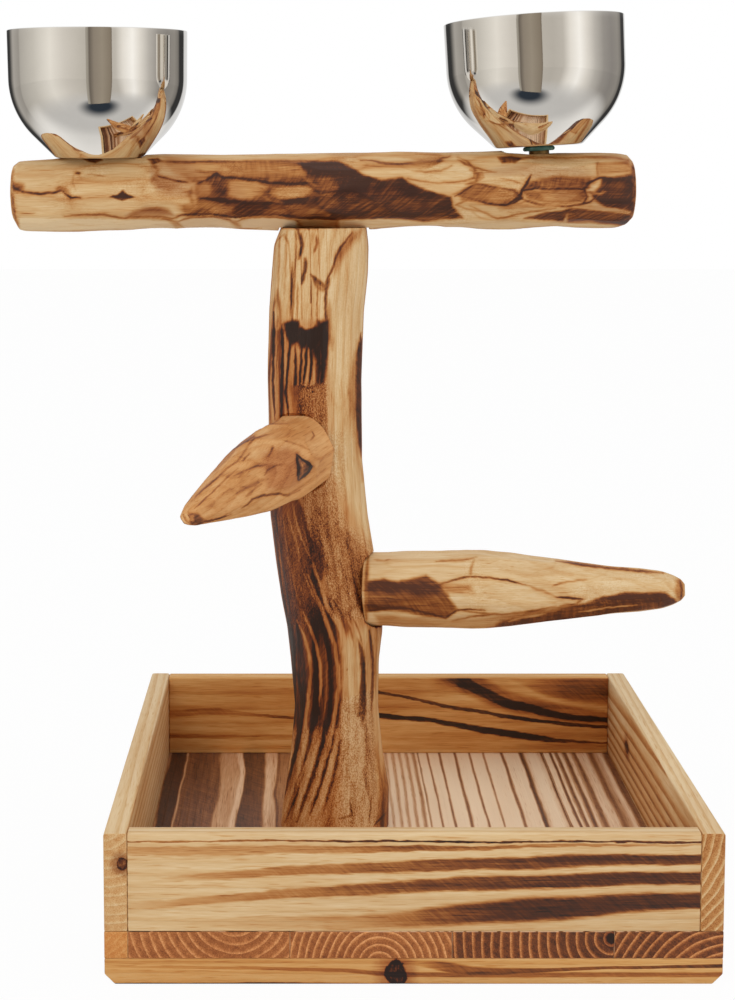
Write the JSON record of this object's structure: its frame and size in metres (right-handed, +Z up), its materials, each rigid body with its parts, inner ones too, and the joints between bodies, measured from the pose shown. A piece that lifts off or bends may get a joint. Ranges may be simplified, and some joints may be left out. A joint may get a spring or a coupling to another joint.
{
  "type": "bird perch stand",
  "caption": "Tabletop bird perch stand: a shallow pine tray on foot rails, a carved scorched trunk with side branches, and a log perch with a screw-on steel cup at each end.",
  "frame": {"origin": "centre of the whole stand's footprint box, on the surface it stands on", "axes": "+X to the right as seen from the front, +Y to the back, +Z up"},
  "size_m": [0.3632, 0.2654, 0.4771],
  "materials": {
    "pine_boards": "planed pine, lightly scorched, satin",
    "torched_log": "hand-cut log, scorched and brushed, satin",
    "branch_wood": "hand-cut branch, lightly scorched, satin",
    "cup_steel": "mirror-polished stainless steel",
    "fasteners": "zinc-plated steel",
    "inserts": "dark plated metal",
    "soft_washers": "matt green rubber"
  },
  "bodies": {
    "stand": {"front_wall": "pine_boards", "back_wall": "pine_boards", "left_wall": "pine_boards", "right_wall": "pine_boards", "floor_stave_1": "pine_boards", "floor_stave_2": "pine_boards", "floor_stave_3": "pine_boards", "floor_stave_4": "pine_boards", "floor_stave_5": "pine_boards", "front_foot_rail": "pine_boards", "back_foot_rail": "pine_boards", "corner_nails": "fasteners", "floor_nails": "fasteners", "rail_nails": "fasteners", "trunk": "torched_log", "trunk_screws": "fasteners", "top_perch": "torched_log", "perch_screws": "fasteners", "right_branch": "branch_wood", "right_branch_screw": "fasteners", "front_branch": "branch_wood", "front_branch_screw": "fasteners", "left_insert": "inserts", "right_insert": "inserts"},
    "left_washer_body": {"left_seal": "soft_washers"},
    "left_cup_body": {"left_cup": "cup_steel", "left_cup_washer": "fasteners", "left_cup_screw": "fasteners"},
    "right_washer_body": {"right_seal": "soft_washers"},
    "right_cup_body": {"right_cup": "cup_steel", "right_cup_washer": "fasteners", "right_cup_screw": "fasteners"}
  },
  "joints": [
    {"name": "left_cup_lift", "type": "slide", "parent": "stand", "child": "left_washer_body", "axis": [0, -0.0314, 0.9995], "range_m": [0, 0.01]},
    {"name": "left_cup_turn", "type": "hinge", "parent": "left_washer_body", "child": "left_cup_body", "pos_m": [-0.13315, 0.005, 0.4004], "axis": [0, -0.0314, 0.9995], "range_deg": [0, 3600]},
    {"name": "right_cup_lift", "type": "slide", "parent": "stand", "child": "right_washer_body", "axis": [-0.0558, 0, 0.9984], "range_m": [0, 0.01]},
    {"name": "right_cup_turn", "type": "hinge", "parent": "right_washer_body", "child": "right_cup_body", "pos_m": [0.10645, 0.005, 0.4024], "axis": [-0.0558, 0, 0.9984], "range_deg": [0, 3600]}
  ],
  "couplings": [
    {"joint": "left_cup_lift", "follows": "left_cup_turn", "m_per_rad": 0.00015915},
    {"joint": "right_cup_lift", "follows": "right_cup_turn", "m_per_rad": 0.00015915}
  ]
}
